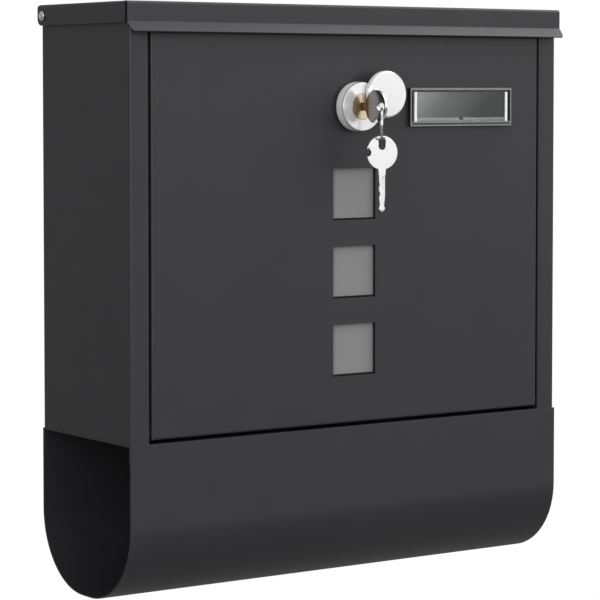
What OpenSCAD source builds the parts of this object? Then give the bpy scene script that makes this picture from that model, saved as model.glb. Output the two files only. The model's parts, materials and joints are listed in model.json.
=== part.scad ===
// Wall mounted mailbox of folded sheet steel: a locking letter compartment with a lift-up
// lid, a drop-down front door and an open newspaper holder below.
// Millimetres, +Z up, the door faces -Y, and the wall is the plane y = 0. The origin is the
// centre of the four wall screw holes. Heights below are measured from the bottom edge of
// the letter compartment, and seat() moves them into that frame.

/* [Body] */
// Width across the side panels
body_w = 301.4; // [280:0.2:340]
// Depth, from the front plane to the rear flanges
body_d = 97; // [90:0.5:120]
// Height of the side panels
body_h = 241.3; // [241:0.1:242]
// Thickness of the folded steel sheet
sheet = 0.8; // [0.6:0.1:1]
// Inner radius of a fold
fold_r = 0.8; // [0.5:0.1:1]
// Width of each front flange beside the door
flange_w = 12.4; // [10:0.1:16]
// Depth of the turned-in edges of the door and its frame
return_d = 8; // [7:0.5:8]

/* [Wall fixing] */
// Distance between the wall screws, side to side
wall_pitch_x = 200; // [160:5:220]
// Distance between the wall screws, up and down
wall_pitch_z = 150; // [120:5:160]
// Height of the wall screw pattern's centre
wall_centre_h = 120; // [115:1:125]
// Radius of the wall screw holes
wall_hole_r = 3; // [2:0.25:3.5]
// How far the pressed pads stand the body off the wall
pad_h = 4; // [4:0.5:8]

/* [Lid] */
// How far the lid's side skirts stand outside the body
lid_over = 2.1; // [2.1:0.1:3]
// How far the lid's front skirt stands in front of the body
lid_front = 1.6; // [1.6:0.1:3]
// Height of the lid's side skirts
skirt_h = 11.8; // [11:0.1:12]
// How far the lip flares out from the front skirt
lip_out = 4.6; // [3:0.1:5]
// Height of the lip's lower edge
lip_h = 226; // [225.5:0.1:227]

/* [Door] */
// Gap between the door and its frame, at each side
door_gap = 1.3; // [1:0.1:1.5]
// Height of the door's bottom edge
door_bottom = 1.9; // [1.9:0.1:2.2]
// Height of the door's top edge
door_top = 226.4; // [225.5:0.1:226.4]
// Side of each square window
window = 30; // [24:1:32]
// Distance between window centres
window_pitch = 45; // [42:1:46]
// Height of the lowest window's centre
window_h = 44.3; // [40:0.1:46]

/* [Lock] */
// Height of the lock's axis
lock_h = 184.5; // [182:0.5:187]
// Radius of the chrome lock head
lock_r = 14.15; // [13.5:0.05:14.5]
// How far the lock head stands out of the door
lock_out = 8; // [6:0.5:10]
// Radius of the brass plug
plug_r = 7.5; // [7.3:0.05:7.6]
// Radius of the swivelling dust cap
cap_r = 13.5; // [13:0.1:13.5]
// How far the cap is turned open from covering the keyway, degrees
cap_open = 123.2; // [118:0.2:126]

/* [Name plate] */
// Width of the name plate
plate_w = 75.8; // [70:0.1:80]
// Height of the name plate
plate_h = 22.4; // [20:0.1:24]
// Middle of the name plate, to the right of the lock
plate_x = 76.6; // [74:0.1:84]
// Height of the name plate's middle
plate_z = 184; // [180:0.1:188]

/* [Newspaper holder] */
// Length of the holder's straight legs
holder_leg = 46; // [30:0.5:60]
// Radius of the two bends at the holder's foot
holder_r = 44.4; // [30:0.1:45]
// How far the holder stands proud of the body, at the front and at each end
holder_proud = 0.5; // [0.3:0.1:0.8]

/* [Hidden] */
$fn = 64;
eps = 0.05;                              // running clearance, and how far a cut overruns
back_y = -pad_h;                         // rear face of the body
front_y = back_y - body_d;               // front plane of the body and the door
half_w = body_w / 2;
frame_x = half_w - flange_w;             // inner edge of each front flange
in_x = half_w - sheet;                   // inner face of each side panel
panel_y = back_y - sheet;                // rear face of the back panel

// Lid and its hinge
lid_top = body_h + 1.1;
lid_x = half_w + lid_over;
lid_y = front_y - lid_front;
lid_back = back_y + 0.8;
skirt_back = lid_y + 3;                  // side skirts stop short of the front skirt
lip_bend = 231.1;                        // height at which the front skirt turns out into the lip
lip_r = 4;                               // rounding of the lip's two ends
hinge_y = lid_back - 6;
hinge_z = lid_top - 6.4;
hinge_r = 1.5;
hinge_head_r = 2.75;
washer_t = 0.9;

// Door, its pins and windows
door_x = frame_x - door_gap;
pin_y = front_y + 4;
pin_z = door_bottom + 4.5;
pin_r = 1.95;
bend_out = fold_r + sheet;
seal_t = 1.6;
sill = 1.1;                              // the seal's sill above each window's lower edge
pane_t = 2;
pane_y = front_y + sheet + seal_t;       // front face of the panes
window_zs = [for (i = [0:2]) window_h + i * window_pitch];
strip_w = window + 8;
strip_z0 = window_zs[0] - window / 2 - 5;
strip_z1 = window_zs[2] + window / 2 + 5;
stud_x = window / 2 + 6.5;
stud_r = 1.5;

// Rail above the door and the strike behind it
rail_z = door_top + 0.8;
rail_top = body_h - 0.7;
strike_y = front_y + 17.1;
strike_z = 205;

// Lock, keys, ring and cap
face_y = front_y - lock_out;
barrel_r = 9.4;
barrel_end = front_y + 16.4;
plug_end = front_y + 17.4;
cam_y = strike_y + sheet + 0.5;          // the cam turns up behind the strike
cam_t = 1.6;
cam_reach = 30;
tail = 6;                                // square tail of the plug
slot_w = 2.3;
slot_h = 4.5;
slot_deep = 21.7;
wafer_t = 1;
wafer_ys = [for (i = [0:4]) face_y + 4 + 2.6 * i];
cap_pivot = [5.7, 7.6];                  // from the lock's axis, to the right and up
cap_gap = 0.5;
cap_t = 3.6;
cap_hub_r = 3.7;                         // boss round the cap's rivet
cap_y = face_y - cap_gap;                // rim of the cap
bow_r = 9.6;
bow_hole_v = 5;                          // from the bow's centre, away from the blade
bow_hole_r = 2.2;
bow_hole_l = 1.2;                        // half of the hole's straight part, along the key
key_t = 1.6;
blade_w = 3.7;
blade_top = -bow_r - 3.2;                // foot of the key's shoulder
blade_tip = -bow_r - 24.4;
bow_y = face_y - 12.9;                   // centre of the inserted key's bow
ring_wire = 0.8;
ring_play = 0.65;                        // the ring rests this much clear of each hole's edge
ring_turn = 54;                          // of the ring's plane, from the door's, degrees
spare_turn = -12;                        // of the spare key about its length, degrees
ring_y = bow_y - bow_hole_v;             // the ring hangs in the inserted key's hole
ring_top = lock_h - bow_hole_r + ring_wire + ring_play;
ring_r = 9.15;
spare_hole_z = ring_top - 2 * ring_r - bow_hole_r - bow_hole_l + ring_wire + ring_play;

// Name plate
frame_t = 2.4;                           // the frame stands out of the door
rim_w = 0.8;                             // its rim, at the ends and the foot
rim_top = 1.3;
floor_t = 0.8;
peg_r = 1.5;
peg_xs = [plate_x - 30, plate_x + 30];
plate_x0 = plate_x - plate_w / 2;
plate_x1 = plate_x + plate_w / 2;
plate_z0 = plate_z - plate_h / 2;
plate_z1 = plate_z + plate_h / 2;
foot_bar = 2.6;                          // inner bar along the foot, below the cover
cover_in = 3.1;                          // from the frame's ends to the cover's
cover_x0 = plate_x0 + cover_in;
cover_x1 = plate_x1 - cover_in;
cover_z0 = plate_z0 + foot_bar + 0.1;
cover_z1 = plate_z1 - 2.4;
cover_t = 0.5;
cover_y = front_y - floor_t - 0.6;       // back of the cover, in front of the card
rib_w = 1.5;                             // upright rib at each end of the cover
notch_w = 3.4;

// Newspaper holder
holder_y = front_y - holder_proud;
holder_d = back_y - holder_y;
holder_x = half_w + holder_proud;
tie_h = 10;                              // flanges of the bottom panel inside the holder
pad_r = 10;                              // flat of each wall pad
rear_flange = 12;

steel = [0.21, 0.215, 0.22];
dark = [0.08, 0.08, 0.085];
chrome = [0.88, 0.88, 0.88];
brass = [0.75, 0.6, 0.35];
zinc = [0.7, 0.71, 0.73];
clear = [0.62, 0.64, 0.65];

// ---- outlines: folded sheets and plates with rounded corners ----

function unit(v) = v / norm(v);
function left_of(v) = [-v.y, v.x] / norm(v);
function turn_at(a, b, c) = let (u = b - a, v = c - b) atan2(u.x * v.y - u.y * v.x, u * v);
function arc(c, r, a0, turn, n = 5) =
    [for (i = [0:n]) c + r * [cos(a0 + turn * i / n), sin(a0 + turn * i / n)]];

// The corner b between a and c, eased about the centre for radius r, and drawn d inside it
function eased(a, b, c, r, d = 0) =
    let (u = unit(b - a), turn = turn_at(a, b, c), side = sign(turn),
         centre = b - u * r * tan(abs(turn) / 2) + left_of(u) * side * r,
         out = -side * left_of(u))
    arc(centre, r - side * d, atan2(out.y, out.x), turn);

// A closed outline whose corner i has radius r[i]
function outline(p, r) = let (n = len(p)) [for (i = [0:n - 1])
    each r[i] == 0 ? [p[i]] : eased(p[(i + n - 1) % n], p[i], p[(i + 1) % n], r[i])];

// The fold at p[i], on the skin that lies d to the left of the path
function fold(p, i, d) =
    let (a = p[i - 1], b = p[i], c = p[i + 1])
    eased(a, b, c, fold_r + (turn_at(a, b, c) > 0 ? sheet : 0), d);

function skin(p, d) =
    let (n = len(p) - 1)
    concat([p[0] + d * left_of(p[1] - p[0])],
           [for (i = [1:n - 1]) each fold(p, i, d)],
           [p[n] + d * left_of(p[n] - p[n - 1])]);

function flip(q) = [for (i = [len(q) - 1:-1:0]) q[i]];

// Section of a sheet whose outer skin is the path, and which lies to the path's left
module folded(p) polygon(concat(skin(p, 0), flip(skin(p, sheet))));
// The same section with the space inside the folds filled
module filled(p) polygon(skin(p, 0));

// ---- placing ----

module seat() translate([0, 0, -wall_centre_h]) children();
// A section drawn in Y and Z, from x0 to x1
module along_x(x0, x1) translate([x0, 0, 0]) rotate([90, 0, 90]) linear_extrude(x1 - x0) children();
// An outline drawn in X and Z, from y0 to y1
module along_y(y0, y1) translate([0, y1, 0]) rotate([90, 0, 0]) linear_extrude(y1 - y0) children();
// Round bars along X and Y, and a turned shape about Y whose profile is drawn in r and y
module bar_x(x0, x1, y, z, r) translate([x0, y, z]) rotate([0, 90, 0]) cylinder(h = x1 - x0, r = r);
module bar_y(y0, y1, x, z, r) translate([x, y0, z]) rotate([-90, 0, 0]) cylinder(h = y1 - y0, r = r);
module turned_y(x, z) translate([x, 0, z]) rotate([-90, 0, 0]) rotate_extrude() children();
module block(a, b) translate(a) cube(b - a);
module both_sides() for (m = [0, 1]) mirror([m, 0, 0]) children();
module at_corners(px, pz) for (x = [-px / 2, px / 2], z = [-pz / 2, pz / 2])
    translate([x, 0, wall_centre_h + z]) children();

// ---- housing ----

// Right-hand side panel: side, front flange with its turned-in edge, and rear flange.
// Its top rear corner is rounded about the lid's hinge, so the lid swings past it.
module side_panel() difference() {
    intersection() {
        linear_extrude(body_h) folded([[frame_x, front_y + return_d], [frame_x, front_y],
            [half_w, front_y], [half_w, back_y], [half_w - rear_flange, back_y]]);
        along_x(0, half_w + 1) union() {
            translate([front_y - 1, 0]) square([hinge_y - front_y + 1, body_h]);
            translate([front_y - 1, 0]) square([back_y - front_y + 2, hinge_z]);
            translate([hinge_y, hinge_z]) circle(body_h - hinge_z);
        }
    }
    bar_x(half_w - 2, half_w + 1, hinge_y, hinge_z, hinge_r + eps);
    bar_x(frame_x - 1, frame_x + 2, pin_y, pin_z, pin_r + eps);
}

module left_side_panel() color(steel) seat() mirror([1, 0, 0]) side_panel();
module right_side_panel() color(steel) seat() side_panel();

// Back panel with its folded top edge and four pads pressed out to the wall
module back_panel() color(steel) seat() {
    top = body_h - 1.8;
    fold_d = 6.8;
    notch = 4.5;                         // square corner notches clear the hinge nuts
    difference() {
        union() {
            along_x(0.9 - in_x, in_x - 0.9) folded([[panel_y, 0], [panel_y, top],
                [panel_y - fold_d, top]]);
            at_corners(wall_pitch_x, wall_pitch_z) translate([0, panel_y - sheet / 2, 0])
                rotate([-90, 0, 0]) cylinder(h = sheet / 2 - panel_y, r1 = pad_r + 4, r2 = pad_r);
        }
        at_corners(wall_pitch_x, wall_pitch_z) {
            translate([0, panel_y - 2 * sheet, 0]) rotate([-90, 0, 0])
                cylinder(h = sheet - panel_y, r1 = pad_r + 4 - sheet / 2, r2 = pad_r - sheet);
            bar_y(-2, 1, 0, 0, wall_hole_r);
        }
        both_sides() block([in_x - notch, panel_y - fold_d - 1, top - notch - 3],
                           [in_x, 0, top + 1]);
    }
}

// Floor of the letter compartment, folded down into the holder at front and back
module bottom_panel() color(steel) seat()
    along_x(-holder_x, holder_x) folded([[back_y - sheet, -tie_h], [back_y - sheet, 0],
        [holder_y + sheet, 0], [holder_y + sheet, -tie_h]]);

// Rail across the top of the door opening, folded down at the back as the cam's strike
module top_rail() color(steel) seat()
    along_x(-frame_x, frame_x) folded([[front_y, rail_top], [front_y, rail_z],
        [strike_y, rail_z], [strike_y, strike_z]]);

// Open-ended U below the compartment: straight legs, two bends and a narrow flat foot
module newspaper_holder() color(steel) seat() along_x(-holder_x, holder_x) {
    flat = holder_d - 2 * holder_r;
    for (y = [holder_y, back_y - sheet]) translate([y, -holder_leg]) square([sheet, holder_leg]);
    for (bend = [0, 1]) translate([holder_y + holder_r + bend * flat, -holder_leg]) intersection() {
        difference() {
            circle(holder_r, $fn = 128);
            circle(holder_r - sheet, $fn = 128);
        }
        translate([(bend - 1) * (holder_r + 1), -holder_r - 1]) square(holder_r + 1);
    }
    translate([holder_y + holder_r, -holder_leg - holder_r]) square([flat, sheet]);
}

// Pan-head screws that the lid hangs on, with a washer and a nut at each side
module lid_hinge_screws() color(zinc) seat() both_sides() {
    bar_x(half_w - 5, lid_x + 0.3, hinge_y, hinge_z, hinge_r);
    translate([lid_x + 0.3, hinge_y, hinge_z]) rotate([0, 90, 0]) difference() {
        rotate_extrude() intersection() {
            translate([0, -2.2]) circle(3.9);
            square([hinge_head_r, 3]);
        }
        for (a = [0, 90]) rotate(a) translate([-1.6, -0.3, 0.8]) cube([3.2, 0.6, 2]);
    }
}
module lid_hinge_washers() color(zinc) seat() both_sides() difference() {
    bar_x(half_w, half_w + washer_t, hinge_y, hinge_z, 3.3);
    bar_x(half_w - 1, half_w + 2, hinge_y, hinge_z, hinge_r + eps);
}
module lid_hinge_nuts() color(zinc) seat() both_sides() difference() {
    translate([in_x - 2.4, hinge_y, hinge_z]) rotate([0, 90, 0]) cylinder(h = 2.4, r = 3.18, $fn = 6);
    bar_x(in_x - 3, in_x + 1, hinge_y, hinge_z, hinge_r + eps);
}

// Headed pins through the frame's turned-in edges, that the door drops down on
module door_hinge_pins() color(zinc) seat() both_sides() {
    bar_x(door_x - 2.4, frame_x + sheet + 0.5, pin_y, pin_z, pin_r);
    bar_x(frame_x + sheet, frame_x + sheet + 1.5, pin_y, pin_z, 2.6);
}

// ---- lid ----

// Sheet with its front folded down and flared out as a lip, and its sides folded down.
// A slit parts the front skirt from the side skirts.
module lid() color(steel) seat() difference() {
    z0 = lid_top - skirt_h;
    union() {
        intersection() {
            along_x(-lid_x, lid_x) folded([[skirt_back + 1, lid_top], [lid_y, lid_top],
                [lid_y, lip_bend], [lid_y - lip_out, lip_h]]);
            along_y(lid_y - 10, 0) polygon(outline([[-lid_x, lip_h - 1], [lid_x, lip_h - 1],
                [lid_x, lid_top], [-lid_x, lid_top]], [lip_r, lip_r, 0.6, 0.6]));
        }
        intersection() {
            along_y(skirt_back, lid_back) folded([[lid_x, z0], [lid_x, lid_top],
                [-lid_x, lid_top], [-lid_x, z0]]);
            along_x(-lid_x - 1, lid_x + 1) polygon(outline([[skirt_back, z0], [lid_back, z0],
                [lid_back, lid_top], [skirt_back, lid_top]], [1, 4, 2, 0]));
        }
    }
    both_sides() bar_x(lid_x - 2, lid_x + 1, hinge_y, hinge_z, hinge_r + eps);
}

// ---- door ----

// Shallow pan, folded back on all four sides, with welded corners
module door_panel() color(steel) seat() difference() {
    across = [[-door_x, front_y + return_d], [-door_x, front_y], [door_x, front_y],
        [door_x, front_y + return_d]];
    upright = [[front_y + return_d, door_top], [front_y, door_top],
        [front_y, door_bottom], [front_y + return_d, door_bottom]];
    union() {
        intersection() {
            linear_extrude(body_h) folded(across);
            along_x(-door_x, door_x) filled(upright);
        }
        intersection() {
            along_x(-door_x, door_x) folded(upright);
            linear_extrude(body_h) filled(across);
        }
    }
    for (z = window_zs) block([-window / 2, front_y - 1, z - window / 2],
                              [window / 2, front_y + 2, z + window / 2]);
    bar_y(front_y - 1, front_y + 2, 0, lock_h, barrel_r + eps);
    for (x = peg_xs) bar_y(front_y - 1, front_y + 2, x, plate_z, peg_r + eps);
    both_sides() bar_x(door_x - 2, door_x + 1, pin_y, pin_z, pin_r + eps);
}

// Rubber seal behind the door sheet, with a sill along the foot of each window
module window_seal() color(dark) seat() difference() {
    block([-strip_w / 2, front_y + sheet, strip_z0], [strip_w / 2, pane_y, strip_z1]);
    for (z = window_zs) block([-window / 2, front_y, z - window / 2 + sill],
                              [window / 2, pane_y + 1, z + window / 2]);
}
module window_pane() color([0.5, 0.5, 0.5]) seat()
    block([-strip_w / 2 + 0.5, pane_y, strip_z0 + 0.5], [strip_w / 2 - 0.5, pane_y + pane_t, strip_z1 - 0.5]);

// Steel strip that clamps the pane, on welded studs with nuts
module at_studs() for (x = [-stud_x, stud_x], z = window_zs) translate([x, 0, z]) children();
module pane_retainer() color(steel) seat() difference() {
    y = pane_y + pane_t;
    block([-stud_x - 5, y, strip_z0], [stud_x + 5, y + sheet, strip_z1]);
    for (z = window_zs) block([-window / 2 - 1, y - 1, z - window / 2 - 1],
                              [window / 2 + 1, y + 2, z + window / 2 + 1]);
    at_studs() bar_y(y - 1, y + 2, 0, 0, stud_r + 0.1);
}
module pane_studs() color(zinc) seat() at_studs()
    bar_y(front_y + sheet, pane_y + pane_t + sheet + 4, 0, 0, stud_r);
module pane_nuts() color(zinc) seat() at_studs() difference() {
    y = pane_y + pane_t + sheet;
    translate([0, y, 0]) rotate([-90, 0, 0]) cylinder(h = 2.4, r = 3.18, $fn = 6);
    bar_y(y - 1, y + 3, 0, 0, stud_r + eps);
}

// ---- name plate: frame with a raised rim, a card, and a clear cover with a finger notch ----

module nameplate_frame() color(clear) seat() {
    y = front_y - frame_t;
    difference() {
        block([plate_x0, y, plate_z0], [plate_x1, front_y, plate_z1]);
        block([plate_x0 + rim_w, y - 1, plate_z0 + foot_bar], [plate_x1 - rim_w, front_y - floor_t, plate_z1 - rim_top]);
        block([plate_x0 + rim_w, y - 1, plate_z0 + rim_w],
              [plate_x1 - rim_w, y + rim_w, plate_z0 + foot_bar - rim_w]);
    }
    for (x = peg_xs) bar_y(front_y - floor_t / 2, front_y + sheet + 3, x, plate_z, peg_r);
}
module name_card() color([0.35, 0.35, 0.36]) seat()
    block([cover_x0, front_y - floor_t - 0.3, cover_z0], [cover_x1, front_y - floor_t, cover_z1]);

// The ledge along the foot is the pull, and the notch in it shows a small tab
module nameplate_cover() color(clear) seat() {
    difference() {
        union() {
            block([cover_x0, cover_y - cover_t, cover_z0], [cover_x1, cover_y, cover_z1]);
            for (x = [cover_x0, cover_x1 - rib_w])
                block([x, cover_y - cover_t - 0.5, cover_z0], [x + rib_w, cover_y, cover_z1]);
            block([cover_x0 + rib_w, cover_y - cover_t - 0.5, cover_z0 + 0.9],
                  [cover_x1 - rib_w, cover_y, cover_z0 + 2.2]);
        }
        block([plate_x - notch_w / 2, cover_y - 2, cover_z0 - 1],
              [plate_x + notch_w / 2, cover_y + 1, cover_z0 + 2.8]);
    }
    block([plate_x - notch_w / 2 - 0.5, cover_y - cover_t - 0.5, cover_z0],
          [plate_x + notch_w / 2 + 0.5, cover_y - 0.2, cover_z0 + 0.9]);
}
module nameplate_clips() color(zinc) seat() for (x = peg_xs) difference() {
    bar_y(front_y + sheet, front_y + sheet + 0.5, x, plate_z, 4);
    bar_y(front_y, front_y + 3, x, plate_z, peg_r + eps);
}

// ---- lock ----

module lock_housing() color(chrome) seat() difference() {
    turned_y(0, lock_h) polygon([[plug_r + eps, face_y], [lock_r - 0.5, face_y],
        [lock_r, face_y + 1.3], [lock_r, front_y], [barrel_r, front_y],
        [barrel_r, barrel_end - 0.6], [barrel_r - 0.6, barrel_end], [plug_r + eps, barrel_end]]);
    bar_y(face_y - 1, face_y + 4.2, cap_pivot.x, lock_h + cap_pivot.y, hinge_r);
}
module lock_nut() color(zinc) seat() difference() {
    translate([0, front_y + sheet, lock_h]) rotate([-90, 0, 0]) cylinder(h = 3.5, r = 13.86, $fn = 6);
    bar_y(front_y, front_y + 6, 0, lock_h, barrel_r + eps);
}
module cap_rivet() color(chrome) seat() turned_y(cap_pivot.x, lock_h + cap_pivot.y) {
    head = cap_y - cap_t - 0.3;
    polygon([[0, head - 1], [1.6, head - 1], [2.6, head - 0.4], [2.6, head], [hinge_r, head],
        [hinge_r, face_y + 4], [0, face_y + 4]]);
}

// Brass plug with a keyway, five wafer slots and a square tail for the cam
module lock_plug() color(brass) seat() difference() {
    union() {
        bar_y(face_y, plug_end, 0, lock_h, plug_r);
        block([-tail / 2, plug_end - 1, lock_h - tail / 2], [tail / 2, cam_y + cam_t, lock_h + tail / 2]);
    }
    block([-slot_w / 2, face_y - 1, lock_h - slot_h / 2],
          [slot_w / 2, face_y + slot_deep, lock_h + slot_h / 2]);
    for (y = wafer_ys) block([-4.3, y - 0.1, lock_h - 9], [4.3, y + wafer_t + 0.1, lock_h + 9]);
    bar_y(cam_y - 4, cam_y + cam_t + 1, 0, lock_h, 2 + eps);
}
module lock_wafers() color(brass) seat() for (y = wafer_ys) difference() {
    intersection() {
        block([-4.2, y, lock_h - 8], [4.2, y + wafer_t, lock_h + 8]);
        bar_y(y - 1, y + 2, 0, lock_h, plug_r - 0.2);
    }
    block([-slot_w / 2 - 0.4, y - 1, lock_h - slot_h / 2 - 0.4],
          [slot_w / 2 + 0.4, y + 2, lock_h + slot_h / 2 + 0.4]);
}
// Flat cam, pointing left and clear of the strike while the lock is open
module lock_cam() color(zinc) seat() along_y(cam_y, cam_y + cam_t) translate([0, lock_h]) difference() {
    union() {
        circle(8);
        translate([-cam_reach + 6, -6]) square([cam_reach - 6, 12]);
        translate([-cam_reach + 6, 0]) circle(6);
    }
    square(tail + 2 * eps, center = true);
}
module cam_washer() color(zinc) seat() difference() {
    bar_y(cam_y + cam_t, cam_y + cam_t + 0.8, 0, lock_h, 5);
    bar_y(cam_y, cam_y + cam_t + 2, 0, lock_h, 2 + eps);
}
module cam_screw() color(zinc) seat() difference() {
    y = cam_y + cam_t + 0.8;
    turned_y(0, lock_h) polygon([[0, cam_y - 3.5], [2, cam_y - 3.5], [2, y], [3.6, y],
        [3.6, y + 1.4], [3, y + 2.1], [0, y + 2.1]]);
    for (a = [0, 90]) translate([0, y + 1.2, lock_h]) rotate([0, a, 0])
        translate([-2, 0, -0.4]) cube([4, 2, 0.8]);
}

// ---- keys and ring ----

// Key lying flat, bow centred on the origin and blade pointing down. Three shallow cuts in
// one edge of the blade are the bitting, and the bow has a thumb notch.
module key_outline() difference() {
    w = blade_w / 2;
    union() {
        circle(bow_r);
        translate([-w - 0.5, blade_top]) square([2 * w + 1, -blade_top - bow_r + 3]);
        polygon([[-w, -5], [-w, blade_top - 4], [0.35 - w, blade_top - 5], [0.35 - w, blade_top - 6],
            [-w, blade_top - 7], [-w, blade_top - 9], [0.6 - w, blade_top - 10.3],
            [0.6 - w, blade_top - 11.3], [0.1 - w, blade_top - 12.3], [0.4 - w, blade_tip + 5.5],
            [0.6 - w, blade_tip + 4], [0.1 - w, blade_tip + 2.8], [0.1 - w, blade_tip + 1.7],
            [0, blade_tip], [w - 0.1, blade_tip + 1.7], [w - 0.1, blade_tip + 2.8],
            [w - 0.6, blade_tip + 4], [w - 0.4, blade_tip + 5.5], [w, blade_top - 12.3], [w, -5]]);
    }
    for (v = [-bow_hole_l, bow_hole_l]) translate([0, bow_hole_v + v]) circle(bow_hole_r);
    translate([-bow_hole_r, bow_hole_v - bow_hole_l]) square([2 * bow_hole_r, 2 * bow_hole_l]);
    translate([-bow_r + 0.6, 0]) circle(2.2);
}
// Grooves milled along both faces of the blade
module groove_outline() translate([0.1, blade_tip + 4]) square([0.9, blade_top - blade_tip - 5]);

module key_in_lock() color(chrome) seat() translate([0, bow_y, lock_h]) difference() {
    along_x(-key_t / 2, key_t / 2) rotate(90) key_outline();
    for (x = [-key_t, key_t / 2 - 0.4]) along_x(x, x + key_t / 2 + 0.4) rotate(90) groove_outline();
}
module spare_key() color(chrome) seat() translate([0, ring_y, spare_hole_z - bow_hole_v])
    rotate([0, 0, spare_turn]) difference() {
        along_y(-key_t / 2, key_t / 2) key_outline();
        for (y = [-key_t, key_t / 2 - 0.4]) along_y(y, y + key_t / 2 + 0.4) groove_outline();
    }
module key_ring() color(chrome) seat() translate([0, ring_y, ring_top - ring_r])
    rotate([0, 0, ring_turn]) rotate([-90, 0, 0]) rotate_extrude($fn = 96)
        translate([ring_r, 0]) circle(ring_wire);

// Dust cap: a shallow cup that swivels on its rivet, drawn turned aside from the keyway
module lock_cap() color(chrome) seat() translate([cap_pivot.x, 0, lock_h + cap_pivot.y])
    rotate([0, -cap_open, 0]) translate([-cap_pivot.x, 0, -cap_pivot.y]) difference() {
        union() {
            turned_y(0, 0) polygon([[0, cap_y - cap_t], [cap_r - 1, cap_y - cap_t],
                [cap_r, cap_y - cap_t + 1], [cap_r, cap_y], [cap_r - 1, cap_y],
                [cap_r - 1, cap_y - cap_t + 1.4], [cap_r - 1.4, cap_y - cap_t + 1],
                [0, cap_y - cap_t + 1]]);
            bar_y(cap_y - cap_t + 0.5, cap_y, cap_pivot.x, cap_pivot.y, cap_hub_r);
        }
        bar_y(cap_y - cap_t - 1, cap_y + 1, cap_pivot.x, cap_pivot.y, hinge_r + eps);
    }

left_side_panel();
right_side_panel();
back_panel();
bottom_panel();
top_rail();
newspaper_holder();
lid_hinge_screws();
lid_hinge_washers();
lid_hinge_nuts();
door_hinge_pins();
lid();
door_panel();
window_seal();
window_pane();
pane_retainer();
pane_studs();
pane_nuts();
nameplate_frame();
name_card();
nameplate_cover();
nameplate_clips();
lock_housing();
lock_nut();
cap_rivet();
lock_plug();
lock_wafers();
lock_cam();
cam_washer();
cam_screw();
key_in_lock();
key_ring();
spare_key();
lock_cap();
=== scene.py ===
"""Looks of the wall mounted mailbox: its materials, soft edges and split ring, and the studio."""
import json
import math
import bpy
from mathutils import Euler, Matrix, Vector


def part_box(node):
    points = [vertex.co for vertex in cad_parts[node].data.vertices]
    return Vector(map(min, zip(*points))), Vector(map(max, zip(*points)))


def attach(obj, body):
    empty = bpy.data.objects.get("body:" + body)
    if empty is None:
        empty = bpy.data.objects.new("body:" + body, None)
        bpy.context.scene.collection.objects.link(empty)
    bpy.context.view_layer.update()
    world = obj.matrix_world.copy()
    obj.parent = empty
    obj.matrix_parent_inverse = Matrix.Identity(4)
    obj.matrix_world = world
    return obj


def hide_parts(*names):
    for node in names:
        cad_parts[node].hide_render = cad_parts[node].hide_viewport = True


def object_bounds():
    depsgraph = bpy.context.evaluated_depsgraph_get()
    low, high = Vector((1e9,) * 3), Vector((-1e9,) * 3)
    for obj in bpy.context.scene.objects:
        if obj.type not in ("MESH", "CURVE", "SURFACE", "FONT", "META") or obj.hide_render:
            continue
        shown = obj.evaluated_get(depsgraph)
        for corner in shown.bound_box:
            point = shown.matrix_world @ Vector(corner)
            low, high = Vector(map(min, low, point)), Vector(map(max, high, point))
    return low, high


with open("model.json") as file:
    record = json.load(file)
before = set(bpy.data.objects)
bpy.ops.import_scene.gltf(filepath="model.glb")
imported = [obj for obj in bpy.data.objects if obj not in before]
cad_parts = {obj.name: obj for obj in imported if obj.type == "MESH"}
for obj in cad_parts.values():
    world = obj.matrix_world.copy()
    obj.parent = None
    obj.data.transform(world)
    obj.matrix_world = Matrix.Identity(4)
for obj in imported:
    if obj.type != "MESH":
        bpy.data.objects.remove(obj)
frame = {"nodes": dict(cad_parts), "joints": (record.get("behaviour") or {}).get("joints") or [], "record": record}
CAD_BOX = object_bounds()

MM = 0.001
NODES = frame["nodes"]
JOINT_POS = {j["name"]: Vector(j.get("pos_m", (0, 0, 0))) for j in frame["joints"]}
LOCK_CENTRE = JOINT_POS["plug_turn"]


# ---------------------------------------------------------------- shader helpers

def set_range(node, source, target):
    """Gives a Map Range node its two pairs of numbers."""
    for name, pair in (("From", source), ("To", target)):
        node.inputs[name + " Min"].default_value, node.inputs[name + " Max"].default_value = pair


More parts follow.
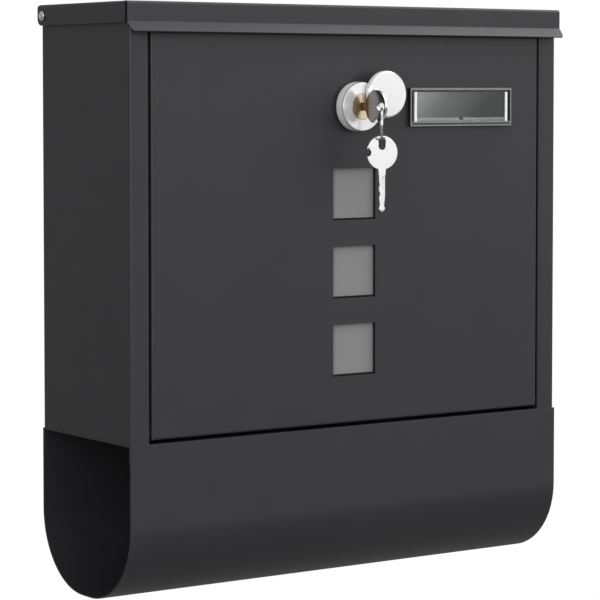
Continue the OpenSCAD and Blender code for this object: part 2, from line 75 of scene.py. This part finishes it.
class Shader:
    """A material with a Principled shader, and short calls for the nodes that feed it."""

    def __init__(self, name):
        self.mat = bpy.data.materials.new(name)
        self.mat.use_nodes = True
        self.tree = self.mat.node_tree
        self.tree.nodes.clear()
        self.bsdf = self.add("ShaderNodeBsdfPrincipled")
        out = self.add("ShaderNodeOutputMaterial")
        self.link(self.bsdf.outputs["BSDF"], out.inputs["Surface"])
        self.coords = self.add("ShaderNodeTexCoord").outputs["Object"]

    def add(self, kind, **settings):
        node = self.tree.nodes.new(kind)
        for key, value in settings.items():
            setattr(node, key, value)
        return node

    def link(self, a, b):
        self.tree.links.new(a, b)

    def set(self, **values):
        for key, value in values.items():
            self.bsdf.inputs[key.replace("_", " ")].default_value = value

    def mapping(self, scale=(1, 1, 1), location=(0, 0, 0)):
        node = self.add("ShaderNodeMapping")
        node.inputs["Scale"].default_value = scale
        node.inputs["Location"].default_value = location
        self.link(self.coords, node.inputs["Vector"])
        return node.outputs["Vector"]

    def noise(self, scale, detail=2.0, rough=0.5, vector=None):
        """Noise with scale features to the metre."""
        node = self.add("ShaderNodeTexNoise")
        node.inputs["Scale"].default_value = scale
        node.inputs["Detail"].default_value = detail
        node.inputs["Roughness"].default_value = rough
        self.link(vector or self.coords, node.inputs["Vector"])
        return node.outputs["Fac"]

    def span(self, value, low, high, src=(0.3, 0.7)):
        """value, mapped from the src range to low..high."""
        node = self.add("ShaderNodeMapRange")
        set_range(node, src, (low, high))
        self.link(value, node.inputs["Value"])
        return node.outputs["Result"]

    def math(self, op, a, b):
        node = self.add("ShaderNodeMath", operation=op)
        for socket, v in zip(node.inputs, (a, b)):
            if isinstance(v, (int, float)):
                socket.default_value = v
            else:
                self.link(v, socket)
        return node.outputs["Value"]

    def ramp(self, value, stops):
        node = self.add("ShaderNodeValToRGB")
        elements = node.color_ramp.elements
        while len(elements) < len(stops):
            elements.new(0.5)
        for element, (place, colour) in zip(elements, stops):
            element.position = place
            element.color = (*colour, 1)
        self.link(value, node.inputs["Fac"])
        return node.outputs["Color"]

    def bump(self, *layers):
        """layers of (height, strength, distance in metres), from the broadest to the finest."""
        normal = None
        for height, strength, distance in layers:
            node = self.add("ShaderNodeBump")
            node.inputs["Strength"].default_value = strength
            node.inputs["Distance"].default_value = distance
            self.link(height, node.inputs["Height"])
            if normal:
                self.link(normal, node.inputs["Normal"])
            normal = node.outputs["Normal"]
        self.link(normal, self.bsdf.inputs["Normal"])


# ---------------------------------------------------------------- materials

def powder_coat():
    """Anthracite powder coat: satin, with a fine orange peel and a faint mottle."""
    s = Shader("powder_coat")
    peel = s.noise(620, 2, 0.45)
    grain = s.noise(5200, 2, 0.6)
    mottle = s.noise(38, 4, 0.6)
    s.link(s.ramp(mottle, ((0.3, (0.0178, 0.0174, 0.0200)), (0.7, (0.0205, 0.0201, 0.0228)))),
           s.bsdf.inputs["Base Color"])
    s.link(s.math("ADD", s.span(peel, 0.40, 0.46), s.span(grain, -0.02, 0.03)),
           s.bsdf.inputs["Roughness"])
    s.set(Specular_IOR_Level=0.4)
    s.bump((peel, 0.16, 0.00008), (grain, 0.10, 0.00002))
    return s.mat


def plated(name, colour, rough, wear_and_shade, metal=None, side_shade=None, turned_at=None):
    """Plated metal with faint smudges. The fourth argument is a stretch of y and its two colours there:
    wear of the plating, down to brass, on a key, and painted shade on the lock housing next to the
    door. rough, metal and the side shade are pairs, for its faces and for its sides: metal under 1 is
    a milky bloom, and a side shade under 1 is a painted dark reflection that darkens the colour of the
    sides. With neither it is plain metal all round. turned_at is the axis of the fine rings that a
    lathe leaves."""
    s = Shader(name)
    smudge = s.noise(170, 3, 0.55)
    plating = s.ramp(smudge, ((0.3, tuple(c * 0.94 for c in colour)), (0.65, colour)))
    place = s.add("ShaderNodeSeparateXYZ")
    s.link(s.coords, place.inputs[0])
    # Over this stretch of y the colour changes: real wear on a key, painted shade on the lock housing next to the
    # door.
    start, end, deep, light = wear_and_shade
    into = s.span(place.outputs["Y"], 0, 1, (start, start + 0.8 * MM))
    out_of = s.span(place.outputs["Y"], 1, 0, (end, end + 0.1 * MM))
    mix = s.add("ShaderNodeMixRGB")
    s.link(s.math("MULTIPLY", into, out_of), mix.inputs["Fac"])
    s.link(plating, mix.inputs["Color1"])
    s.link(s.ramp(smudge, ((0.3, deep), (0.65, light))), mix.inputs["Color2"])
    split = s.add("ShaderNodeSeparateXYZ")
    s.link(s.add("ShaderNodeNewGeometry").outputs["True Normal"], split.inputs[0])
    facing = s.math("ABSOLUTE", split.outputs["Y"], 0)
    tint = mix.outputs["Color"]
    # Painted dark reflection: the colour of the sides is scaled down to the second number of the pair.
    if side_shade:
        shaded_sides = s.add("ShaderNodeVectorMath", operation="SCALE")
        s.link(tint, shaded_sides.inputs[0])
        s.link(s.span(facing, side_shade[1], side_shade[0], (0.1, 0.5)), shaded_sides.inputs["Scale"])
        tint = shaded_sides.outputs["Vector"]
    s.link(tint, s.bsdf.inputs["Base Color"])
    turn = (0.1, 0.35)
    if metal:
        s.link(s.span(facing, metal[1], metal[0], turn), s.bsdf.inputs["Metallic"])
    else:
        s.set(Metallic=1.0)
    s.link(s.math("ADD", s.span(facing, rough[1], rough[0], turn), s.span(smudge, -0.015, 0.03)),
           s.bsdf.inputs["Roughness"])
    layers = [(s.noise(90, 2, 0.5), 0.03, 0.0001)]
    if turned_at is not None:
        wave = s.add("ShaderNodeTexWave", wave_type="RINGS", rings_direction="Y")
        wave.inputs["Scale"].default_value = 500
        wave.inputs["Distortion"].default_value = 0.3
        s.link(s.mapping(location=-turned_at), wave.inputs["Vector"])
        layers.append((wave.outputs["Fac"], 0.008, 0.00001))
    s.bump(*layers)
    return s.mat


def turned_brass():
    """Brass of the plug and wafers: faced on a lathe, with a coppery tarnish in patches."""
    s = Shader("lock_brass")
    s.set(Metallic=1.0)
    patch = s.noise(420, 3, 0.6)
    s.link(s.ramp(patch, ((0.3, (0.60, 0.49, 0.37)), (0.55, (0.63, 0.52, 0.40)),
                          (0.75, (0.55, 0.41, 0.28)))),
           s.bsdf.inputs["Base Color"])
    wave = s.add("ShaderNodeTexWave", wave_type="RINGS", rings_direction="Y")
    wave.inputs["Scale"].default_value = 1100
    wave.inputs["Distortion"].default_value = 0.6
    s.link(s.mapping(location=-LOCK_CENTRE), wave.inputs["Vector"])
    s.link(s.span(patch, 0.20, 0.34), s.bsdf.inputs["Roughness"])
    s.bump((patch, 0.03, 0.00008), (wave.outputs["Fac"], 0.05, 0.00003))
    return s.mat


def zinc_plate():
    """Zinc-plated fixings: bright, a little cloudy, with a crystal speckle."""
    s = Shader("zinc_fixings")
    s.set(Metallic=1.0)
    cloud = s.noise(300, 4, 0.65)
    s.link(s.ramp(cloud, ((0.3, (0.60, 0.61, 0.64)), (0.7, (0.78, 0.78, 0.77)))),
           s.bsdf.inputs["Base Color"])
    s.link(s.span(cloud, 0.22, 0.38), s.bsdf.inputs["Roughness"])
    s.bump((s.noise(2600, 3, 0.7), 0.12, 0.00003))
    return s.mat


def seal_rubber():
    """Black rubber of the window seal, with a dusty bloom."""
    s = Shader("seal_rubber")
    bloom = s.noise(160, 4, 0.65)
    s.link(s.ramp(bloom, ((0.35, (0.003, 0.003, 0.003)), (0.8, (0.007, 0.007, 0.007)))),
           s.bsdf.inputs["Base Color"])
    s.link(s.span(bloom, 0.6, 0.75), s.bsdf.inputs["Roughness"])
    s.set(Specular_IOR_Level=0.15)
    s.bump((s.noise(1800, 3, 0.6), 0.2, 0.00004))
    return s.mat


def frosted_pane():
    """Grey frosted acrylic of the windows."""
    s = Shader("window_plastic")
    cloud = s.noise(55, 3, 0.5)
    s.link(s.ramp(cloud, ((0.3, (0.193, 0.194, 0.195)), (0.7, (0.205, 0.205, 0.206)))),
           s.bsdf.inputs["Base Color"])
    s.link(s.span(cloud, 0.55, 0.62), s.bsdf.inputs["Roughness"])
    s.set(Specular_IOR_Level=0.3)
    s.bump((s.noise(2400, 2, 0.5), 0.12, 0.00002))
    return s.mat


def smoky_plastic():
    """Moulded frame of the name plate: a frosted grey rim round a polished pocket, whose near black colour is
    painted shade deep in the frame.
    """
    s = Shader("frame_plastic")
    swirl = s.noise(130, 3, 0.55)
    depth = s.add("ShaderNodeSeparateXYZ")
    s.link(s.coords, depth.inputs[0])
    low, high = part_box("nameplate_frame")
    # Painted shade: 1 at the front rim, falling to 0 deeper in, where the ramp gives near black for the shade in
    # the pocket.
    rim = s.span(depth.outputs["Y"], 1, 0, (low.y + 0.2 * MM, low.y + 0.5 * MM))
    tone = s.math("ADD", s.math("MULTIPLY", rim, 0.8), s.math("MULTIPLY", swirl, 0.2))
    s.link(s.ramp(tone, ((0.1, (0.012, 0.0125, 0.013)), (0.85, (0.17, 0.172, 0.172)))),
           s.bsdf.inputs["Base Color"])
    s.link(s.span(swirl, 0.22, 0.34), s.bsdf.inputs["Roughness"])
    s.set(Specular_IOR_Level=0.6)
    s.bump((s.noise(260, 2, 0.5), 0.05, 0.00005))
    return s.mat


def clear_plastic():
    """Clear moulded cover of the name plate, with frosted ribs at its ends and a hazy foot."""
    s = Shader("clear_plastic")
    s.set(IOR=1.25)
    wipe = s.noise(190, 3, 0.6)
    low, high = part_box("nameplate_cover")
    place = s.add("ShaderNodeSeparateXYZ")
    s.link(s.mapping(location=(-(low.x + high.x) / 2, 0, 0)), place.inputs[0])
    reach = s.math("ABSOLUTE", place.outputs["X"], 0)
    edge = (high.x - low.x) / 2 - 1.5 * MM
    rib = s.span(reach, 0, 0.9, (edge - 0.05 * MM, edge + 0.05 * MM))
    ledge_top = low.z + 2.2 * MM
    ledge = s.span(place.outputs["Z"], 0.14, 0, (ledge_top - 0.05 * MM, ledge_top + 0.05 * MM))
    frosted = s.math("MAXIMUM", rib, ledge)
    s.link(s.math("SUBTRACT", 1, frosted), s.bsdf.inputs["Transmission Weight"])
    s.link(s.ramp(wipe, ((0.3, (0.93, 0.94, 0.94)), (0.7, (0.96, 0.97, 0.97)))),
           s.bsdf.inputs["Base Color"])
    s.link(s.span(wipe, 0.03, 0.07), s.bsdf.inputs["Roughness"])
    s.bump((wipe, 0.01, 0.00002))
    return s.mat


def grey_card():
    """Card behind the cover of the name plate, with paper fibre and a painted reflection: lighter to the upper
    left, falling to its dark grey on the right and lower down.
    """
    s = Shader("card")
    fibre = s.noise(900, 4, 0.7, s.mapping(scale=(1, 1, 3)))
    low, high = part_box("name_card")
    place = s.add("ShaderNodeSeparateXYZ")
    s.link(s.coords, place.inputs[0])
    # Painted reflection of the cover: the card is lightest to the upper left, and darker to the right and towards
    # the bottom.
    painted_reflection = s.math("ADD", s.span(place.outputs["X"], 0, 0.8, (low.x, high.x)),
                  s.span(place.outputs["Z"], 0.2, 0, (low.z, high.z)))
    tone = s.math("ADD", painted_reflection, s.span(fibre, -0.02, 0.02))
    s.link(s.ramp(tone, ((0.0, (0.40, 0.40, 0.40)), (0.3, (0.15, 0.15, 0.15)),
                         (0.7, (0.022, 0.022, 0.023)), (1.0, (0.012, 0.012, 0.013)))),
           s.bsdf.inputs["Base Color"])
    s.link(s.span(fibre, 0.55, 0.7), s.bsdf.inputs["Roughness"])
    s.bump((fibre, 0.15, 0.00003))
    return s.mat


LOCK_FACE_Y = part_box("lock_housing")[0].y
DOOR_FACE_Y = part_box("door_panel")[0].y
# Painted shade: the last 2.1 mm of the chrome lock housing before the door is near black. It stands in for the
# shade and the door's dark reflection where housing and door meet.
PAINTED_SHADE_BY_DOOR = (DOOR_FACE_Y - 2.1 * MM, DOOR_FACE_Y, (0.03, 0.03, 0.03), (0.05, 0.05, 0.05))
WORN_TO_BRASS = (LOCK_FACE_Y - 7 * MM, 0, (0.22, 0.12, 0.04), (0.46, 0.29, 0.12))
CHROME = (0.76, 0.76, 0.76)
NICKEL = (0.70, 0.70, 0.70)

MATERIALS = {
    "powder_coat": powder_coat(),
    "lock_chrome": plated("lock_chrome", CHROME, (0.22, 0.4), PAINTED_SHADE_BY_DOOR, metal=(0.6, 0.1),
                          turned_at=LOCK_CENTRE),
    # The key's sides are painted darker, at 0.3 of the colour of its faces: a painted dark reflection.
    "key_nickel": plated("key_nickel", NICKEL, (0.10, 0.14), WORN_TO_BRASS, side_shade=(1, 0.3)),
    "lock_brass": turned_brass(),
    "zinc_fixings": zinc_plate(),
    "seal_rubber": seal_rubber(),
    "window_plastic": frosted_pane(),
    "frame_plastic": smoky_plastic(),
    "clear_plastic": clear_plastic(),
    "card": grey_card(),
}
SLOT_OF = {p["node"]: p["material_slot"] for p in frame["record"]["subparts"]}


# ---------------------------------------------------------------- soft edges of the CAD parts

def smooth_by_angle(limit):
    """Geometry nodes that shade smooth, and keep edges sharper than limit."""
    group = bpy.data.node_groups.new("smooth_by_angle", "GeometryNodeTree")
    for side in ("INPUT", "OUTPUT"):
        group.interface.new_socket("Geometry", in_out=side, socket_type="NodeSocketGeometry")
    nodes, links = group.nodes, group.links
    start, end = nodes.new("NodeGroupInput"), nodes.new("NodeGroupOutput")
    clear = nodes.new("GeometryNodeRemoveAttribute")
    clear.inputs["Name"].default_value = "custom_normal"
    faces = nodes.new("GeometryNodeSetShadeSmooth")
    faces.domain = "FACE"
    edges = nodes.new("GeometryNodeSetShadeSmooth")
    edges.domain = "EDGE"
    edges.inputs["Shade Smooth"].default_value = False
    angle = nodes.new("GeometryNodeInputMeshEdgeAngle")
    sharp = nodes.new("FunctionNodeCompare")
    sharp.data_type, sharp.operation = "FLOAT", "GREATER_THAN"
    sharp.inputs["B"].default_value = limit
    links.new(angle.outputs["Unsigned Angle"], sharp.inputs["A"])
    links.new(sharp.outputs["Result"], edges.inputs["Selection"])
    chain = (start, clear, faces, edges, end)
    for a, b in zip(chain, chain[1:]):
        links.new(a.outputs[0], b.inputs[0])
    return group


SHARP = math.radians(32)             # an edge that turns further than this stays an edge
NEARLY_FLAT = math.radians(0.5)      # facets that turn less than this are one face
SMOOTH = smooth_by_angle(SHARP)

# Width of the soft edges of each material slot, in millimetres.
EDGE = {"powder_coat": 0.2, "lock_chrome": 0.18, "key_nickel": 0.3, "lock_brass": 0.12,
        "zinc_fixings": 0.15, "seal_rubber": 0.15, "window_plastic": 0.2, "frame_plastic": 0.22,
        "clear_plastic": 0.16}
MANY_HOLES = ("pane_retainer", "key_in_lock", "spare_key")   # their flat faces stay in facets
HARD_EDGED = ("pane_retainer",)      # a soft edge would fold over on its small facets


def soften(obj, width):
    """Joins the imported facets, cleans flat areas, and rounds the edges by width millimetres.
    One face round many holes can fold over itself, so such pieces keep their facets."""
    weld = obj.modifiers.new("join_facets", "WELD")
    weld.merge_threshold = 0.002 * MM
    if obj.name not in MANY_HOLES:
        flat = obj.modifiers.new("flat_areas", "DECIMATE")
        flat.decimate_type = "DISSOLVE"
        flat.angle_limit = NEARLY_FLAT
    smooth_shading(obj)
    if width:
        edge = obj.modifiers.new("soft_edges", "BEVEL")
        edge.width = width * MM
        edge.segments = 2
        edge.limit_method = "ANGLE"
        edge.angle_limit = SHARP
        edge.miter_outer = "MITER_ARC"
        even = obj.modifiers.new("even_shading", "WEIGHTED_NORMAL")
        even.mode = "FACE_AREA"
        even.weight = 100


def smooth_shading(obj):
    shade = obj.modifiers.new("smooth_shading", "NODES")
    shade.node_group = SMOOTH


def dress_cad_nodes():
    for name, obj in NODES.items():
        slot = SLOT_OF[name]
        for index in range(len(obj.data.materials)):
            obj.data.materials[index] = MATERIALS[slot]
        soften(obj, 0 if name in HARD_EDGED else EDGE.get(slot, 0))


# ---------------------------------------------------------------- split ring

def mesh_object(name, verts, faces, slot, body):
    mesh = bpy.data.meshes.new(name)
    mesh.from_pydata(verts, [], faces)
    mesh.validate()
    mesh.update()
    obj = bpy.data.objects.new(name, mesh)
    bpy.context.scene.collection.objects.link(obj)
    mesh.materials.append(MATERIALS[slot])
    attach(obj, body)
    return obj


def sweep(path, section, name, slot, body):
    """A closed solid: section(t) gives the ring of points at each place on the path."""
    rings = [section(t) for t in path]
    n = len(rings[0])
    verts = [p for ring in rings for p in ring]
    faces = []
    for i in range(len(rings) - 1):
        for j in range(n):
            a, b = i * n + j, i * n + (j + 1) % n
            faces.append((a, b, b + n, a + n))
    faces.append(tuple(range(n))[::-1])
    faces.append(tuple(range(len(verts) - n, len(verts))))
    obj = mesh_object(name, verts, faces, slot, body)
    smooth_shading(obj)
    return obj


def split_ring():
    """Two flat-wire turns side by side, which change places at the gap."""
    low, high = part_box("key_ring")
    centre = (low + high) / 2
    outer = (high.z - low.z) / 2
    set_in = 0.8 * MM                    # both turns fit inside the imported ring's round wire
    middle = outer - set_in
    wire = 1.24 * MM                     # width of the flat wire, across the ring's face
    coil = 0.66 * MM                     # thickness of one turn
    pitch = coil + 0.03 * MM
    facing = math.radians(54)            # of the ring's plane, from the door's
    along = Vector((math.cos(facing), math.sin(facing), 0))
    across = Vector((-math.sin(facing), math.cos(facing), 0))
    turns, steps = 2.0, 240
    start = math.radians(205)            # the gap is on the lower left
    swap = math.radians(24)              # arc over which a turn crosses to the other side
    corner = 0.31 * MM

    def offset(t):
        """Sideways place of the wire: it crosses over once, half way along."""
        angle = t * turns * 2 * math.pi
        mid = turns * math.pi
        x = min(max((angle - (mid - swap / 2)) / swap, 0), 1)
        return (x * x * (3 - 2 * x) * 2 - 1) * (pitch / 2)

    def section(t):
        angle = start + t * turns * 2 * math.pi
        radial = along * math.cos(angle) + Vector((0, 0, 1)) * math.sin(angle)
        place = centre + radial * middle + across * offset(t)
        ring = []
        half_r, half_a = wire / 2, coil / 2
        for sr, sa, a0 in ((1, 1, 0), (-1, 1, 90), (-1, -1, 180), (1, -1, 270)):
            for k in range(4):
                a = math.radians(a0 + k * 30)
                r = sr * (half_r - corner) + corner * math.cos(a)
                s = sa * (half_a - corner) + corner * math.sin(a)
                ring.append(place + radial * r + across * s)
        return ring

    obj = sweep([i / steps for i in range(steps + 1)], section, "split_ring", "key_nickel", "ring")
    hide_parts("key_ring")
    return obj


# ---------------------------------------------------------------- studio

SEEN_AS_WHITE = 1.02                 # glow of the floor and backdrop, to the camera alone
FLOOR_GREY = 0.28                    # what the floor throws back to the object


def area_light(name, place, target, size, radiance):
    """Soft box whose surface glows with the given radiance, seen by nothing but the lighting."""
    data = bpy.data.lights.new(name, "AREA")
    data.shape = "RECTANGLE"
    data.size, data.size_y = size
    data.energy = radiance * math.pi * size[0] * size[1]
    obj = bpy.data.objects.new(name, data)
    obj.location = place
    obj.rotation_euler = (Vector(target) - Vector(place)).to_track_quat("-Z", "Y").to_euler()
    bpy.context.scene.collection.objects.link(obj)
    return obj


def studio_world():
    """White backdrop; what lights and mirrors in the object is a soft dome, brightest at the
    front right and darker low down and behind."""
    world = bpy.data.worlds.new("studio")
    bpy.context.scene.world = world
    world.use_nodes = True
    tree = world.node_tree
    tree.nodes.clear()
    add, link = tree.nodes.new, tree.links.new
    direction = add("ShaderNodeTexCoord").outputs["Generated"]

    def towards(axis, low, high, dim, bright):
        dot, span = add("ShaderNodeVectorMath"), add("ShaderNodeMapRange")
        dot.operation = "DOT_PRODUCT"
        dot.inputs[1].default_value = Vector(axis).normalized()
        span.interpolation_type = "SMOOTHSTEP"
        set_range(span, (low, high), (dim, bright))
        link(direction, dot.inputs[0])
        link(dot.outputs["Value"], span.inputs["Value"])
        return span.outputs["Result"]

    product = add("ShaderNodeMath")
    product.operation = "MULTIPLY"
    link(towards((0.5, -0.85, 0.1), -0.6, 0.95, 0.54, 1.96), product.inputs[0])
    link(towards((0, 0, 1), -0.5, 0.3, 0.55, 1.0), product.inputs[1])
    dome, backdrop = add("ShaderNodeBackground"), add("ShaderNodeBackground")
    link(product.outputs["Value"], dome.inputs["Strength"])
    backdrop.inputs["Color"].default_value = (1, 1, 1, 1)
    backdrop.inputs["Strength"].default_value = SEEN_AS_WHITE
    pick, out = add("ShaderNodeMixShader"), add("ShaderNodeOutputWorld")
    link(add("ShaderNodeLightPath").outputs["Is Camera Ray"], pick.inputs[0])
    link(dome.outputs[0], pick.inputs[1])
    link(backdrop.outputs[0], pick.inputs[2])
    link(pick.outputs[0], out.inputs["Surface"])


def pale_floor():
    """Plain white floor, well below the box, which hangs on its wall screws. It looks white and
    throws back little light, like the backdrop."""
    drop = 0.35
    half = 6.0
    z = CAD_BOX[0].z - drop
    mesh = bpy.data.meshes.new("floor")
    mesh.from_pydata([(-half, -half, z), (half, -half, z), (half, half, z), (-half, half, z)],
                     [], [(0, 1, 2, 3)])
    floor = bpy.data.objects.new("floor", mesh)
    bpy.context.scene.collection.objects.link(floor)
    mat = bpy.data.materials.new("floor_paint")
    mat.use_nodes = True
    tree = mat.node_tree
    tree.nodes.clear()
    add, link = tree.nodes.new, tree.links.new
    matt, white = add("ShaderNodeBsdfDiffuse"), add("ShaderNodeEmission")
    matt.inputs["Color"].default_value = (FLOOR_GREY, FLOOR_GREY, FLOOR_GREY, 1)
    white.inputs["Strength"].default_value = SEEN_AS_WHITE
    pick, out = add("ShaderNodeMixShader"), add("ShaderNodeOutputMaterial")
    link(add("ShaderNodeLightPath").outputs["Is Camera Ray"], pick.inputs[0])
    link(matt.outputs[0], pick.inputs[1])
    link(white.outputs[0], pick.inputs[2])
    link(pick.outputs[0], out.inputs["Surface"])
    mesh.materials.append(mat)


def camera():
    data = bpy.data.cameras.new("camera")
    data.sensor_width = 36
    data.lens = 153.62
    data.shift_y = -0.12
    data.clip_end = 50
    obj = bpy.data.objects.new("camera", data)
    obj.location = (-0.86909, -1.29082, 0.07464)
    pitch, turn = -3.11, -34.923         # degrees: a little down, and round to the box's left
    obj.rotation_euler = Euler((math.radians(90 + pitch), 0, math.radians(turn)), "XYZ")
    bpy.context.scene.collection.objects.link(obj)
    bpy.context.scene.camera = obj


def studio():
    studio_world()
    pale_floor()
    front = Vector((0, -0.1, 0.05))
    area_light("top_softbox", (1.15, -0.45, 1.15), front, (1.0, 0.8), 3.3)
    area_light("left_softbox", (-1.5, -1.25, 0.35), front, (0.45, 1.2), 6.5)
    scene = bpy.context.scene
    scene.view_settings.view_transform = "Standard"
    scene.view_settings.look = "None"


camera()
dress_cad_nodes()
split_ring()
studio()
